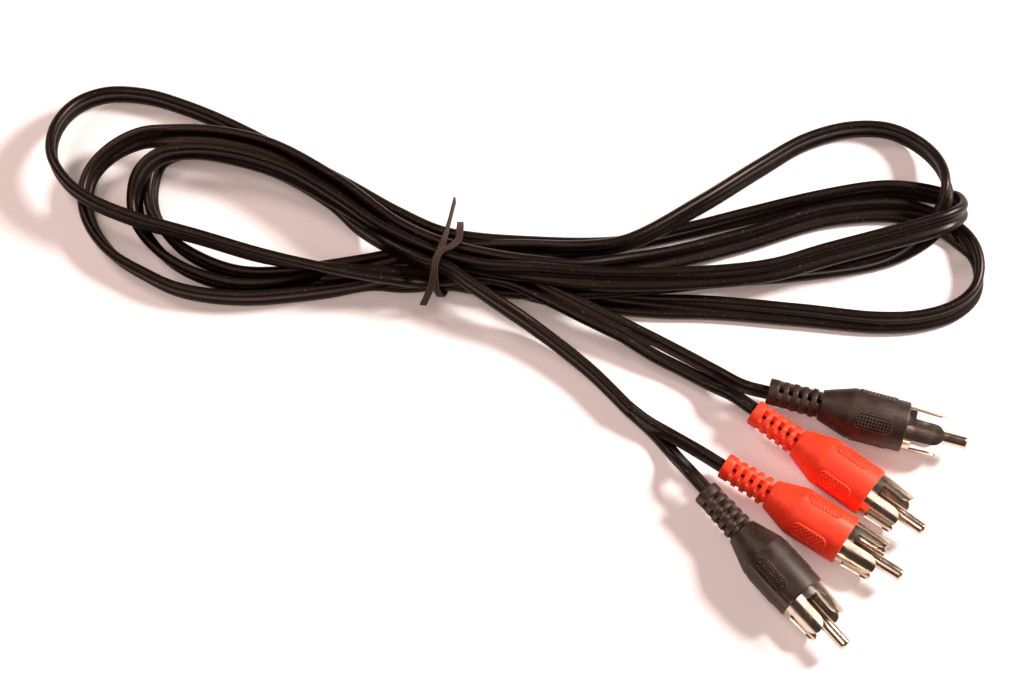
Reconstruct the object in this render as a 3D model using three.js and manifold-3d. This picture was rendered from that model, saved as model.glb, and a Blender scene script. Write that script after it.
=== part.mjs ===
// A twin audio cable, about 1.9 m long, with a red and a black pin plug at each end. The flat twin
// cord is wound into a loose hank that a twist tie holds at its middle, and the plugs lie beside it.
// Millimetres, +Z up. The floor is z = 0, and the origin is under the middle of the four plugs.
import * as THREE from "three";
import { mergeVertices } from "three/addons/utils/BufferGeometryUtils.js";
import Module from "manifold-3d";

const wasm = await Module();
wasm.setup();

// Clearance left between two pieces that seat in or on each other.
const GAP = 0.3;

// Centre pin: the standard pin of this plug, and how far it stands out of the hood.
const PIN_DIA = 3.18;
const PIN_REACH = 15.2;
const PIN_CHAMFER = 0.5;

// Contact shell: a sheet-metal ring with four spring petals.
const SHELL_DIA = 10.3;
const SHELL_TIP_DIA = 9.7;
const SHELL_WALL = 0.45;
const SHELL_REACH = 9.0;
const RING_REACH = 1.7;
const PETAL_WIDTH = 5.4;
const PETAL_CORNER = 2.2;

// Insulator: the disc that holds the pin in the middle of the shell.
const INSULATOR_REACH = 1.2;

// Hood: the moulded grip, with an open strain relief behind a cone and a barrel.
const HOOD_DIA = 12.3;
const BARREL_LENGTH = 13.7;
const CONE_LENGTH = 7.4;
const RIM_ROUND = 0.7;
const POCKET_DEPTH = 3.2;
const COLLAR_LENGTH = 2.5;
const BAND_DIAS = [6.5, 6.8, 6.8, 7.1, 7.4];
const WINDOW_LENGTH = 1.1;
const WINDOW_PITCH = 2.32;
const RIB_WIDTH = 1.5;
const RIB_DIA = 6.2;
const PAD_LENGTH = 9.4;
const PAD_WIDTH = 4.2;
const PAD_RAISE = 0.25;
const PAD_CORNER = 1.8;
const PAD_SETBACK = 8.0;

// Cord: two round strands side by side, joined by a web.
const STRAND_DIA = 2.5;
const STRAND_PITCH = 3.75;
const WEB_THICKNESS = 1.4;

// Twist tie: a flat strip with a wire in it.
const TIE_WIDTH = 1.7;
const TIE_THICKNESS = 0.7;

// Number of sides of a round solid.
const ROUND_SIDES = 20;
const PIN_SIDES = 12;
const STRAND_SIDES = 8;

// Lengths and radii that follow from the sizes above.
const neckLength = COLLAR_LENGTH + (BAND_DIAS.length - 1) * WINDOW_PITCH + WINDOW_LENGTH;
const hoodLength = neckLength + CONE_LENGTH + BARREL_LENGTH;
const pocketFloor = hoodLength - POCKET_DEPTH;
const hoodRadius = HOOD_DIA / 2;
const padRadius = hoodRadius + PAD_RAISE;
const shellRadius = SHELL_DIA / 2;
const pinRadius = PIN_DIA / 2;
const boreRadius = STRAND_DIA / 2 + GAP;

// Height of a plug's axis: it lies on its barrel, or on the edges of its two lowest pads.
const plugHeight = padRadius * Math.cos(THREE.MathUtils.degToRad(12.5));

const materials = {
  redVinyl: { color: "#e5321f", roughness: 0.38, metalness: 0 },
  blackVinyl: { color: "#3a322e", roughness: 0.5, metalness: 0 },
  nickel: { color: "#c9c0b2", roughness: 0.25, metalness: 1 },
  polymer: { color: "#2a2725", roughness: 0.55, metalness: 0 },
  cordVinyl: { color: "#1d1716", roughness: 0.35, metalness: 0 },
  tieVinyl: { color: "#2b211e", roughness: 0.6, metalness: 0 },
};

function piece(name, geometry, finish) {
  const mesh = new THREE.Mesh(geometry, new THREE.MeshStandardMaterial(materials[finish]));
  mesh.name = name;
  return mesh;
}

// Turns a closed geometry into a solid that can be cut and joined.
function solid(geometry) {
  geometry.deleteAttribute("normal");
  geometry.deleteAttribute("uv");
  const merged = mergeVertices(geometry, 1e-4);
  const index = merged.index.array;
  const triVerts = [];
  for (let i = 0; i < index.length; i += 3) {
    const [a, b, c] = [index[i], index[i + 1], index[i + 2]];
    if (a !== b && b !== c && c !== a) triVerts.push(a, b, c);
  }
  const vertProperties = merged.attributes.position.array;
  return new wasm.Manifold(new wasm.Mesh({ numProp: 3, vertProperties, triVerts: new Uint32Array(triVerts) }));
}

function toGeometry(manifold) {
  const { vertProperties, triVerts } = manifold.getMesh();
  const geometry = new THREE.BufferGeometry();
  geometry.setAttribute("position", new THREE.BufferAttribute(vertProperties, 3));
  geometry.setIndex(new THREE.BufferAttribute(triVerts, 1));
  return geometry;
}

// A solid turned about the X axis from [distance along the axis, radius] pairs, rear to front.
function turned(profile, sides = ROUND_SIDES) {
  const points = profile.map(([along, radius]) => new THREE.Vector2(radius, along));
  return solid(new THREE.LatheGeometry(points, sides).rotateZ(-Math.PI / 2));
}

// A rounded outline from x0 to x1, pushed right through the axis along Z, or along Y where turned.
function punch(x0, x1, width, corner, depth, acrossY) {
  const half = width / 2;
  const outline = new THREE.Shape();
  outline.moveTo(x0, -half + corner);
  outline.absarc(x0 + corner, -half + corner, corner, Math.PI, 1.5 * Math.PI);
  outline.absarc(x1 - corner, -half + corner, corner, -Math.PI / 2, 0);
  outline.absarc(x1 - corner, half - corner, corner, 0, Math.PI / 2);
  outline.absarc(x0 + corner, half - corner, corner, Math.PI / 2, Math.PI);
  const geometry = new THREE.ExtrudeGeometry(outline, { depth, bevelEnabled: false, curveSegments: 3 });
  geometry.translate(0, 0, -depth / 2);
  if (acrossY) geometry.rotateX(Math.PI / 2);
  return solid(geometry);
}

function bar(x0, x1, width, height) {
  const geometry = new THREE.BoxGeometry(x1 - x0, width, height);
  return solid(geometry.translate((x0 + x1) / 2, 0, 0));
}

// Hood, with its axis along X and its rear end at x = 0.
function hoodSolid() {
  const profile = [[0, 0]];
  BAND_DIAS.forEach((dia, i) => {
    const start = i === 0 ? 0 : COLLAR_LENGTH + (i - 1) * WINDOW_PITCH + WINDOW_LENGTH / 2;
    const end = COLLAR_LENGTH + i * WINDOW_PITCH + WINDOW_LENGTH / 2;
    profile.push([start, dia / 2], [end, dia / 2]);
  });
  profile.pop();
  profile.push([neckLength, BAND_DIAS.at(-1) / 2]);
  profile.push([neckLength + CONE_LENGTH, hoodRadius]);
  for (let k = 0; k <= 2; k++) {
    const angle = (k / 2) * (Math.PI / 2);
    const inset = RIM_ROUND * (1 - Math.cos(angle));
    profile.push([hoodLength - RIM_ROUND * (1 - Math.sin(angle)), hoodRadius - inset]);
  }
  profile.push([hoodLength, 0]);
  let hood = turned(profile);

  const padFront = hoodLength - PAD_SETBACK + PAD_LENGTH / 2;
  const padRear = padFront - PAD_LENGTH;
  const padSleeve = turned([[padRear, 0], [padRear, padRadius], [padFront, padRadius], [padFront, 0]]);
  for (const acrossY of [false, true]) {
    const oblong = punch(padRear, padFront, PAD_WIDTH, PAD_CORNER, 2 * HOOD_DIA, acrossY);
    hood = hood.add(oblong.intersect(padSleeve));
  }

  const ribs = bar(0, neckLength, RIB_WIDTH, RIB_DIA).add(bar(0, neckLength, RIB_DIA, RIB_WIDTH));
  for (let i = 0; i < BAND_DIAS.length; i++) {
    const start = COLLAR_LENGTH + i * WINDOW_PITCH;
    const end = start + WINDOW_LENGTH;
    const disc = turned([[start, 0], [start, hoodRadius], [end, hoodRadius], [end, 0]]);
    hood = hood.subtract(disc.subtract(ribs));
  }

  const rear = -1;
  const front = hoodLength + 1;
  const pocketRadius = shellRadius + GAP;
  hood = hood.subtract(turned([[rear, 0], [rear, boreRadius], [front, boreRadius], [front, 0]], PIN_SIDES));
  return hood.subtract(turned([[pocketFloor, 0], [pocketFloor, pocketRadius], [front, pocketRadius], [front, 0]]));
}

// Contact shell: the ring seats in the hood's pocket, and the petals close in a little to their tips.
function shellSolid() {
  const rear = pocketFloor + GAP;
  const ringFront = hoodLength + RING_REACH;
  const tip = hoodLength + SHELL_REACH;
  const tipRadius = SHELL_TIP_DIA / 2;
  const sleeve = turned([
    [rear, shellRadius - SHELL_WALL],
    [rear, shellRadius],
    [ringFront, shellRadius],
    [tip, tipRadius],
    [tip, tipRadius - SHELL_WALL],
    [ringFront, shellRadius - SHELL_WALL],
    [rear, shellRadius - SHELL_WALL],
  ], 24);
  let outline = bar(rear - 1, ringFront, 2 * SHELL_DIA, 2 * SHELL_DIA);
  for (const acrossY of [false, true]) {
    outline = outline.add(punch(rear - 1, tip, PETAL_WIDTH, PETAL_CORNER, 2 * SHELL_DIA, acrossY));
  }
  return sleeve.intersect(outline);
}

function pinSolid() {
  const tip = hoodLength + PIN_REACH;
  const rear = pocketFloor + GAP;
  return turned([
    [rear, 0],
    [rear, pinRadius],
    [tip - PIN_CHAMFER, pinRadius],
    [tip, pinRadius - PIN_CHAMFER],
    [tip, 0],
  ], PIN_SIDES);
}

function insulatorSolid() {
  const rear = pocketFloor + GAP;
  const front = hoodLength + INSULATOR_REACH;
  const outer = shellRadius - SHELL_WALL - GAP;
  const inner = pinRadius + GAP;
  return turned([[rear, inner], [rear, outer], [front, outer], [front, inner], [rear, inner]]);
}

// A route through points chosen by hand, each [x, y, z, lean in degrees], with a section at each point.
// A long route may be thinned: it keeps its points at the tie, and elsewhere only those where the next
// point would have turned the route by STATION_TURN or run it on for STATION_REACH since the last.
const TIE_X = -92.8;
const TIE_NEAR = 1;
const STATION_TURN = THREE.MathUtils.degToRad(42);
const STATION_REACH = 48;

class HandRoute extends THREE.Curve {
  constructor(points, across, thinned) {
    super();
    this.across = across;
    this.line = new THREE.CatmullRomCurve3(points.map(([x, y, z]) => new THREE.Vector3(x, y, z)));
    this.leans = points.map((point) => THREE.MathUtils.degToRad(point[3] ?? 0));
    const last = points.length - 1;
    const tangents = points.map((_, i) => this.line.getTangent(i / last));
    this.stations = [0];
    for (let i = 1; i < last; i++) {
      const from = this.stations.at(-1);
      const bend = tangents[from].angleTo(tangents[i + 1]);
      const roll = Math.abs(this.leans[from] - this.leans[i + 1]);
      const reach = this.line.points[from].distanceTo(this.line.points[i + 1]);
      const inTie = Math.abs(this.line.points[i].x - TIE_X) < TIE_NEAR;
      const needed = inTie || Math.max(bend, roll) > STATION_TURN || reach > STATION_REACH;
      if (needed || !thinned) this.stations.push(i);
    }
    this.stations.push(last);
    this.tangents = this.stations.map((i) => tangents[i]);
  }

  get steps() {
    return this.stations.length - 1;
  }

  getPoint(t, target = new THREE.Vector3()) {
    return this.line.getPoint(t, target);
  }

  getSpacedPoints() {
    return this.stations.map((i) => this.line.points[i].clone());
  }

  computeFrenetFrames() {
    const normals = this.stations.map((i, k) => {
      const along = this.tangents[k];
      const flat = this.across(along);
      const standing = new THREE.Vector3().crossVectors(flat, along);
      return flat.multiplyScalar(Math.cos(this.leans[i])).addScaledVector(standing, Math.sin(this.leans[i]));
    });
    const binormals = normals.map((normal, k) => new THREE.Vector3().crossVectors(this.tangents[k], normal));
    return { tangents: this.tangents, normals, binormals };
  }
}

// Level direction to the right of travel, for a cord that lies on the floor.
function rightOfTravel(along) {
  return new THREE.Vector3(along.y, -along.x, 0).normalize();
}

// Direction along the bundle, for a strip that is wrapped round it.
function alongBundle(along) {
  const x = new THREE.Vector3(1, 0, 0);
  return x.addScaledVector(along, -along.x).normalize();
}

function swept(section, points, across, thinned = false) {
  const route = new HandRoute(points, across, thinned);
  const shape = new THREE.Shape(section.map(([x, y]) => new THREE.Vector2(x, y)));
  return new THREE.ExtrudeGeometry(shape, { steps: route.steps, extrudePath: route, bevelEnabled: false });
}

function roundSection(dia, sides) {
  return Array.from({ length: sides }, (_, i) => {
    const angle = (2 * Math.PI * (i + 0.5)) / sides;
    return [(dia / 2) * Math.cos(angle), (dia / 2) * Math.sin(angle)];
  });
}

// Twin section: an arc of points round each strand, and a waist at the web between them.
function twinSection() {
  const arc = [-110, -55, 0, 55, 110].map(THREE.MathUtils.degToRad);
  const radius = STRAND_DIA / 2;
  const lobe = (centre, start) =>
    arc.map((angle) => [centre + radius * Math.cos(angle + start), radius * Math.sin(angle + start)]);
  const waist = WEB_THICKNESS / 2;
  return [...lobe(STRAND_PITCH / 2, 0), [0, waist], ...lobe(-STRAND_PITCH / 2, Math.PI), [0, -waist]];
}

// Strip section with its edges taken off.
function tieSection() {
  const [w, t] = [TIE_WIDTH / 2, TIE_THICKNESS / 2];
  const edge = t * 0.6;
  return [[w, -t + edge], [w, t - edge], [w - edge, t], [-w + edge, t],
    [-w, t - edge], [-w, -t + edge], [-w + edge, -t], [w - edge, -t]];
}

// Route of the twin cord's middle, from the split to the near plugs to the split to the far plugs.
// Each row is [x, y, z, lean]: lean 0 or 180 lies flat, lean 90 stands on its edge.
const TWIN_ROUTE = [
  // out of the near split, climbing to the top of the bundle at the tie
  [-47.8, 26.5, 3.3, 90], [-57.6, 36.9, 3.4, 90], [-71.0, 47.5, 5.2, 90], [-79.6, 52.6, 8.2, 90],
  [-86.5, 57.0, 9.8, 90], [-92.7, 61.4, 9.9, 90], [-99.8, 63.7, 9.8, 90], [-107.3, 68.4, 8.1, 90],
  // innermost left loop
  [-115.4, 75.6, 3.8, 90], [-122.3, 82.6, 3.2, 90], [-135.5, 91.0, 3.2, 90], [-149.7, 96.1, 3.2, 90],
  [-160.3, 96.9, 3.2, 90], [-165.8, 94.2, 3.2, 86], [-167.8, 87.6, 3.2, 79], [-167.1, 80.2, 3.2, 76],
  [-162.7, 73.2, 3.2, 82], [-155.9, 67.6, 3.2, 90], [-144.4, 63.1, 3.2, 90], [-129.5, 62.9, 3.3, 102],
  [-118.3, 63.7, 4.0, 150], [-105.9, 66.0, 4.3, 172], [-92.9, 68.4, 5.4, 178],
  // highest right loop
  [-83.4, 67.9, 5.4, 170], [-72.2, 67.5, 6.8, 130], [-61.1, 66.9, 9.0, 100], [-48.7, 68.3, 9.8, 95],
  [-29.6, 79.8, 7.6, 104], [-13.9, 91.6, 4.3, 106], [-1.7, 99.6, 3.3, 100], [9.7, 103.1, 3.2, 94],
  [19.7, 102.7, 3.3, 90], [27.0, 97.7, 4.8, 90], [31.1, 90.6, 7.6, 85], [32.0, 83.5, 9.6, 70],
  [31.0, 78.2, 7.4, 50], [28.8, 74.6, 5.2, 42], [23.7, 70.4, 4.0, 60], [15.1, 66.4, 3.2, 85],
  [-5.0, 63.0, 3.2, 88], [-27.0, 61.6, 3.6, 66], [-41.3, 60.0, 4.9, 16], [-54.9, 58.8, 4.5, 4],
  [-72.2, 58.8, 4.0, 0], [-82.1, 59.5, 4.0, 0], [-92.9, 61.7, 2.8, 0],
  // second left loop
  [-100.8, 61.6, 2.2, 15], [-110.7, 60.5, 3.2, 88], [-124.3, 58.1, 3.2, 90], [-144.1, 56.4, 3.2, 90],
  [-159.1, 58.5, 3.2, 92], [-168.5, 63.0, 3.2, 96], [-176.6, 68.4, 3.2, 102], [-182.3, 76.0, 3.2, 106],
  [-184.4, 83.9, 3.2, 106], [-183.2, 90.0, 3.9, 105], [-178.3, 95.5, 5.2, 108], [-170.9, 98.6, 7.0, 122],
  [-163.1, 98.4, 8.8, 135], [-151.6, 97.8, 9.2, 140], [-137.6, 94.2, 9.4, 135], [-120.9, 84.4, 9.8, 125],
  [-104.4, 72.7, 10.0, 92], [-92.7, 67.3, 10.0, 90],
  // widest right loop
  [-82.1, 64.2, 10.6, 92], [-71.0, 62.5, 10.2, 95], [-59.9, 62.2, 8.4, 105], [-48.6, 64.2, 6.0, 125],
  [-37.3, 66.8, 4.2, 135], [-18.3, 72.4, 2.9, 140], [3.4, 79.4, 2.5, 143], [22.4, 80.5, 2.1, 155],
  [31.1, 77.2, 2.1, 172], [36.2, 72.7, 2.8, 135], [39.0, 68.4, 3.2, 100], [39.7, 63.7, 3.2, 86],
  [38.2, 57.9, 3.1, 72], [33.2, 53.3, 2.95, 62], [24.6, 50.5, 2.9, 60], [13.9, 49.9, 2.9, 58],
  [-5.5, 51.9, 2.8, 50], [-27.1, 54.0, 2.5, 40], [-41.9, 54.8, 1.8, 12], [-54.8, 56.3, 1.4, 3],
  [-68.5, 58.5, 1.4, 0], [-80.9, 62.8, 1.4, 0], [-92.9, 68.6, 2.4, 0],
  // third left loop
  [-100.9, 67.5, 1.8, 8], [-110.9, 65.0, 1.6, 12], [-120.8, 62.4, 2.2, 25], [-133.1, 60.0, 3.15, 76],
  [-144.2, 59.7, 3.2, 90], [-153.0, 61.8, 3.2, 92], [-161.1, 65.9, 3.2, 98], [-167.0, 71.4, 3.3, 108],
  [-170.4, 76.7, 4.0, 112], [-171.4, 82.4, 5.6, 108], [-169.9, 87.8, 8.6, 102], [-165.4, 92.3, 9.4, 97],
  [-157.6, 93.9, 9.5, 96], [-146.2, 92.4, 9.5, 106], [-133.5, 88.0, 9.6, 108], [-120.7, 80.2, 9.9, 100],
  [-109.9, 72.4, 10.5, 92], [-92.7, 64.2, 10.3, 90],
  // front right loop, with its tight end
  [-83.3, 61.3, 11.0, 95], [-72.3, 59.8, 11.4, 115], [-57.6, 58.4, 10.8, 135], [-42.8, 58.3, 10.3, 135],
  [-23.1, 59.5, 10.0, 128], [-11.6, 61.2, 10.0, 131],
  [0.7, 65.0, 10.0, 135], [16.8, 69.5, 10.2, 135], [25.6, 72.0, 10.4, 135],
  [32.0, 74.5, 10.0, 125], [35.9, 78.1, 7.6, 105], [35.5, 82.2, 4.6, 92], [32.9, 83.9, 3.2, 84],
  [26.5, 85.4, 3.1, 76], [16.4, 86.1, 3.1, 75], [1.1, 83.5, 3.1, 75], [-18.5, 78.4, 3.1, 76],
  [-34.5, 74.2, 3.2, 84], [-49.6, 71.1, 3.2, 90], [-70.9, 71.0, 3.2, 90], [-92.9, 73.1, 4.0, 90],
  // outermost left loop, which comes back over the other three
  [-104.8, 78.5, 4.2, 90], [-118.9, 87.3, 3.7, 90], [-133.1, 95.5, 3.2, 90], [-148.9, 104.2, 3.2, 90],
  [-159.5, 109.0, 3.2, 90], [-170.5, 112.4, 3.6, 90], [-180.6, 112.3, 4.6, 90], [-187.9, 108.3, 6.0, 90],
  [-192.1, 100.8, 8.0, 90], [-192.3, 92.6, 9.4, 90], [-188.1, 85.1, 10.0, 90], [-181.6, 79.8, 10.0, 90],
  [-171.0, 75.0, 10.0, 90], [-153.8, 69.7, 10.0, 90], [-137.6, 64.7, 9.8, 88], [-121.5, 61.8, 9.3, 62],
  [-107.5, 60.2, 8.7, 32], [-99.4, 60.5, 6.6, 10], [-92.8, 61.8, 5.5, 0],
  // flat out of the tie to the far split
  [-85.8, 62.3, 5.8, 0], [-76.7, 60.5, 6.7, 0], [-67.3, 55.8, 7.0, 0], [-57.5, 50.7, 6.4, 0],
  [-47.5, 46.0, 5.0, 0],
];

// Twist tie: tail, over the bundle, round it once, across itself and out to the other tail.
const TIE_ROUTE = [
  [-91.0, 81.4, 7.0, 85], [-91.6, 76.4, 10.8, 85], [-92.3, 71.4, 13.9, 78], [-93.3, 67.0, 14.9, 45],
  [-94.5, 63.6, 14.8, 0], [-95.4, 61.0, 14.4, 0], [-95.6, 58.9, 12.8, 0], [-95.4, 57.3, 9.0, 0],
  [-94.9, 57.1, 4.8, 0], [-94.2, 57.8, 1.4, 0], [-93.2, 60.4, 0.38, 0], [-92.0, 67.0, 0.38, 0],
  [-90.4, 73.8, 0.42, 0], [-89.9, 75.4, 1.9, 0], [-89.6, 75.5, 6.0, 0], [-89.5, 73.7, 9.2, 0],
  [-89.5, 69.9, 13.0, 0], [-90.0, 66.6, 14.9, 0], [-91.5, 64.8, 15.7, 0], [-93.8, 63.5, 16.1, 0],
  [-95.2, 61.4, 15.9, 0], [-95.8, 58.2, 14.2, 0], [-96.6, 55.9, 10.8, 6], [-97.6, 54.8, 7.6, 12],
  [-98.6, 54.0, 4.6, 10],
];

// The four plugs: the middle of each hood's rear end, its heading on the floor, how far its pads and
// its shell's slots are rolled to the left from upright, and the route of its strand from the split.
const STRAIGHT_OUT = 6;
const PLUGS = [
  { name: "near_black", finish: "blackVinyl", rear: [-30.7, 5.0], heading: -50, pads: -34, slots: 4,
    strand: [[-47.5, 26.2, 1.4], [-42.6, 21.4, 1.5], [-37.8, 15.0, 2.6]] },
  { name: "near_red", finish: "redVinyl", rear: [-25.9, 11.6], heading: -34, pads: 32, slots: -2,
    strand: [[-47.5, 26.2, 5.2], [-43.6, 23.6, 4.3], [-38.4, 20.6, 3.8]] },
  { name: "far_red", finish: "redVinyl", rear: [-18.2, 25.2], heading: -37.5, pads: 34, slots: 2,
    strand: [[-48.0, 44.1, 5.0], [-42.3, 40.5, 3.8], [-35.0, 36.8, 3.0], [-27.8, 32.5, 3.6]] },
  { name: "far_black", finish: "blackVinyl", rear: [-14.6, 30.6], heading: -16, pads: -33, slots: 23,
    strand: [[-46.4, 47.5, 5.0], [-41.6, 45.3, 4.2], [-35.0, 41.8, 3.7], [-27.0, 37.0, 4.1]] },
];

const group = new THREE.Group();
group.add(piece("twin_cord", swept(twinSection(), TWIN_ROUTE, rightOfTravel, true), "cordVinyl"));
group.add(piece("twist_tie", swept(tieSection(), TIE_ROUTE, alongBundle), "tieVinyl"));

for (const { name, finish, rear, heading, pads, slots, strand } of PLUGS) {
  const plug = new THREE.Group();
  plug.position.set(rear[0], rear[1], plugHeight);
  plug.rotation.z = THREE.MathUtils.degToRad(heading);
  const hood = piece(`${name}_hood`, toGeometry(hoodSolid()), finish);
  hood.rotation.x = THREE.MathUtils.degToRad(-pads);
  const shell = piece(`${name}_contact_shell`, toGeometry(shellSolid()), "nickel");
  shell.rotation.x = THREE.MathUtils.degToRad(-slots - 45);
  plug.add(hood, shell);
  plug.add(piece(`${name}_centre_pin`, toGeometry(pinSolid()), "nickel"));
  plug.add(piece(`${name}_insulator`, toGeometry(insulatorSolid()), "polymer"));
  group.add(plug);

  // The strand comes straight into the hood and runs down its bore to the pocket.
  plug.updateMatrixWorld();
  const onAxis = (along) => plug.localToWorld(new THREE.Vector3(along, 0, 0)).toArray();
  const route = [...strand, onAxis(-STRAIGHT_OUT), onAxis(0), onAxis(neckLength), onAxis(pocketFloor)];
  const section = roundSection(STRAND_DIA, STRAND_SIDES);
  group.add(piece(`${name}_strand`, swept(section, route, rightOfTravel), "cordVinyl"));
}

export default group;
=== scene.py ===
# A twin audio cable laid out on a table: a flat twin cord wound into a hank, with a twist tie round it
# and a pair of moulded pin plugs, one red and one black, at each of its ends.
import math

import bmesh
import bpy
from mathutils import Matrix, Vector


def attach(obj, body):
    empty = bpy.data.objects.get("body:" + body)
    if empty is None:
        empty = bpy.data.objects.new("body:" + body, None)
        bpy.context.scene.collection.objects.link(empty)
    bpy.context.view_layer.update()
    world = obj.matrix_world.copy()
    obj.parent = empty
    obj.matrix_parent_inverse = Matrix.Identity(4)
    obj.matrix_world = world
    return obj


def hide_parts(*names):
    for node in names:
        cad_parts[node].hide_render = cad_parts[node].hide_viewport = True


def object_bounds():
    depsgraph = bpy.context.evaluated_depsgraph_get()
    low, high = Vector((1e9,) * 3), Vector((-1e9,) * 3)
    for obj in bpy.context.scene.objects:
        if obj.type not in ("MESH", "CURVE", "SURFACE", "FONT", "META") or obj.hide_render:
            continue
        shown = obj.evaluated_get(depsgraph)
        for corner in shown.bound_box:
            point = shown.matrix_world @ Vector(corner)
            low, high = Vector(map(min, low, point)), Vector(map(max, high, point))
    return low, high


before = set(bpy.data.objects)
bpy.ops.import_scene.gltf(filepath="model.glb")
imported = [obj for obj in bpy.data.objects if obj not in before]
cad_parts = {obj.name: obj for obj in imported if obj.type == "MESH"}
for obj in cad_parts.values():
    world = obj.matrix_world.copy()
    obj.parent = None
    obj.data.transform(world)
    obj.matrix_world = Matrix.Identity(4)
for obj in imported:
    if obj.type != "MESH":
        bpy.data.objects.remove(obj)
cad_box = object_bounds()

# The view: a camera in front of the cable that looks down on it at 68 degrees. The cable lies on a
# plain white floor, under one strong soft lamp at the right and two weaker pink ones at the left.
MM = 0.001
VIEW_TARGET = Vector((-76.67, 46.02, 0)) * MM
VIEW_DISTANCE = 560 * MM
VIEW_ELEVATION = math.radians(68)
VIEW_WIDTH = math.radians(25.5)

view = bpy.data.cameras.new("view")
view.sensor_fit = "HORIZONTAL"
view.angle = VIEW_WIDTH
view.clip_start = 10 * MM
camera = bpy.data.objects.new("view", view)
towards_camera = Vector((0, -math.cos(VIEW_ELEVATION), math.sin(VIEW_ELEVATION)))
camera.location = VIEW_TARGET + VIEW_DISTANCE * towards_camera
camera.rotation_euler = (math.pi / 2 - VIEW_ELEVATION, 0, 0)
bpy.context.collection.objects.link(camera)
bpy.context.scene.camera = camera
bpy.context.scene.view_settings.view_transform = "Standard"


def colour(hexadecimal):
    """An sRGB hex colour as linear red, green and blue, with an alpha of 1."""
    parts = [int(hexadecimal[i:i + 2], 16) / 255 for i in (0, 2, 4)]
    return [*(((p + 0.055) / 1.055) ** 2.4 if p > 0.04045 else p / 12.92 for p in parts), 1]


def add_node(tree, kind, sockets=(), **settings):
    """A new shader node: settings are its own properties, sockets are (input, value or output to link)."""
    made = tree.nodes.new("ShaderNode" + kind)
    for name, value in settings.items():
        setattr(made, name, value)
    for name, value in sockets:
        if isinstance(value, bpy.types.NodeSocket):
            tree.links.new(value, made.inputs[name])
        else:
            made.inputs[name].default_value = value
    return made


# Painted board: matt white, a little lifted where the camera or a mirror surface sees it, so that the
# bare floor is white and the soft pinkish shadows stay.
FLOOR_SIDE = 4.0
FLOOR_LIFT = 0.14
board = bpy.data.materials.new("painted_board")
board.use_nodes = True
tree = board.node_tree
tree.nodes.clear()
path = add_node(tree, "LightPath")
seen = add_node(tree, "Math", [(0, path.outputs["Is Camera Ray"]), (1, path.outputs["Is Glossy Ray"])],
                operation="MAXIMUM")
seen = add_node(tree, "Math", [(0, seen.outputs[0]), (1, path.outputs["Is Transmission Ray"])],
                operation="MAXIMUM")
lift = add_node(tree, "Math", [(0, seen.outputs[0]), (1, FLOOR_LIFT)], operation="MULTIPLY")
glow = add_node(tree, "Emission", [("Color", colour("ffe4dc")), ("Strength", lift.outputs[0])])
matt = add_node(tree, "BsdfDiffuse", [("Color", colour("f3efee"))])
both = add_node(tree, "AddShader", [(0, matt.outputs[0]), (1, glow.outputs[0])])
add_node(tree, "OutputMaterial", [("Surface", both.outputs[0])])

sheet = bmesh.new()
bmesh.ops.create_grid(sheet, x_segments=1, y_segments=1, size=FLOOR_SIDE / 2)
bmesh.ops.translate(sheet, vec=(0, 0, cad_box[0].z), verts=sheet.verts)
floor_mesh = bpy.data.meshes.new("floor")
sheet.to_mesh(floor_mesh)
floor_mesh.materials.append(board)
floor = bpy.data.objects.new("floor", floor_mesh)
bpy.context.collection.objects.link(floor)

LAMPS = [
    # place in millimetres, side in millimetres, watts, colour
    ((-480, 380, 560), 220, 2.0, "ffe4dc"),
    ((505, 225, 460), 160, 10.0, "fffaf6"),
    ((-260, -160, 640), 420, 1.7, "ffe4dc"),
]
for i, (place, side, power, tint) in enumerate(LAMPS):
    lamp = bpy.data.lights.new(f"lamp_{i}", "AREA")
    lamp.size = side * MM
    lamp.energy = power
    lamp.color = colour(tint)[:3]
    stand = bpy.data.objects.new(f"lamp_{i}", lamp)
    stand.location = Vector(place) * MM
    stand.rotation_euler = (VIEW_TARGET - stand.location).to_track_quat("-Z", "Y").to_euler()
    bpy.context.collection.objects.link(stand)

room = bpy.data.worlds.new("room")
room.use_nodes = True
room.node_tree.nodes["Background"].inputs["Color"].default_value = colour("ffe2da")
room.node_tree.nodes["Background"].inputs["Strength"].default_value = 0.06
bpy.context.scene.world = room

# Twin cord: two stranded wires side by side in one extrusion of soft vinyl, a figure of eight in
# section with a web between the wires. It is loose, so it lies in loops on its edge or flat.
STRAND_RADIUS = 1.25
STRAND_PITCH = 3.75
WEB_HALF = 0.4
LOBE_POINTS = 15
LOBE_REACH = math.radians(152)
CORD_STEP = 1.6

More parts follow.
